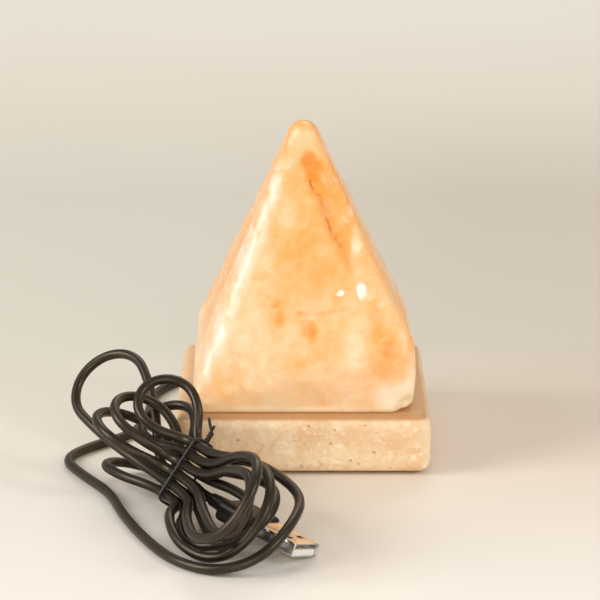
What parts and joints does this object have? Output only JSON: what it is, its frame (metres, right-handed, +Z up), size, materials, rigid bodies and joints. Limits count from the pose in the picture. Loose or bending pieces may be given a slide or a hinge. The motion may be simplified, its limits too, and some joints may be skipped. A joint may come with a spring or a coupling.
{
  "type": "salt crystal lamp",
  "caption": "Table lamp of a hand-cut orange salt crystal standing on a square stone foot, lit from inside by an LED board, its cord tied in a hank with a flat plug",
  "frame": {"origin": "middle of the stone foot's underside, on the table, where the foot pads rest", "axes": "+Z up along the lamp's height, the front faces -Y, +X to the right seen from the front"},
  "size_m": [0.1297, 0.2147, 0.1178],
  "materials": {
    "stone": "cream and beige stone, sawn and lightly polished, fine mottling and pits",
    "salt": "translucent orange and peach salt crystal, hand-cut, glossy",
    "pad_rubber": "matt black",
    "grommet_rubber": "matt black",
    "white_moulding": "matt white moulding",
    "diffuser": "milky white, satin",
    "board": "white solder mask on aluminium",
    "led": "white body, yellow window",
    "resistor": "black body, tinned ends",
    "screw_steel": "zinc plated",
    "nylon": "natural nylon",
    "cord_jacket": "black, satin",
    "red_insulation": "red, satin",
    "black_insulation": "black, satin",
    "plug_steel": "nickel plated, bright",
    "plug_tongue": "white, gloss",
    "contact_brass": "gold plated",
    "plug_rubber": "black, satin",
    "tie_plastic": "black, satin"
  },
  "bodies": {
    "base": {"stone_base": "stone", "foot_pads": "pad_rubber", "led_holder": "white_moulding", "led_board": "board", "leds": "led", "board_resistors": "resistor", "board_screws": "screw_steel", "diffuser_dome": "diffuser", "base_cover": "white_moulding", "cover_screws": "screw_steel", "stone_plugs": "nylon", "cord_grommet": "grommet_rubber", "inner_cord": "cord_jacket", "cord_clamp": "white_moulding", "clamp_screws": "screw_steel", "positive_lead": "red_insulation", "negative_lead": "black_insulation", "plug_shell": "plug_steel", "plug_tongue": "plug_tongue", "plug_contacts": "contact_brass", "plug_grip": "plug_rubber", "cord_hank": "cord_jacket", "cord_lead": "cord_jacket", "cord_tail": "cord_jacket", "twist_tie": "tie_plastic"},
    "crystal": {"salt_crystal": "salt"}
  },
  "joints": [
    {"name": "crystal_lift", "type": "slide", "parent": "base", "child": "crystal", "axis": [0, 0, 1], "range_m": [0, 0.045]}
  ]
}
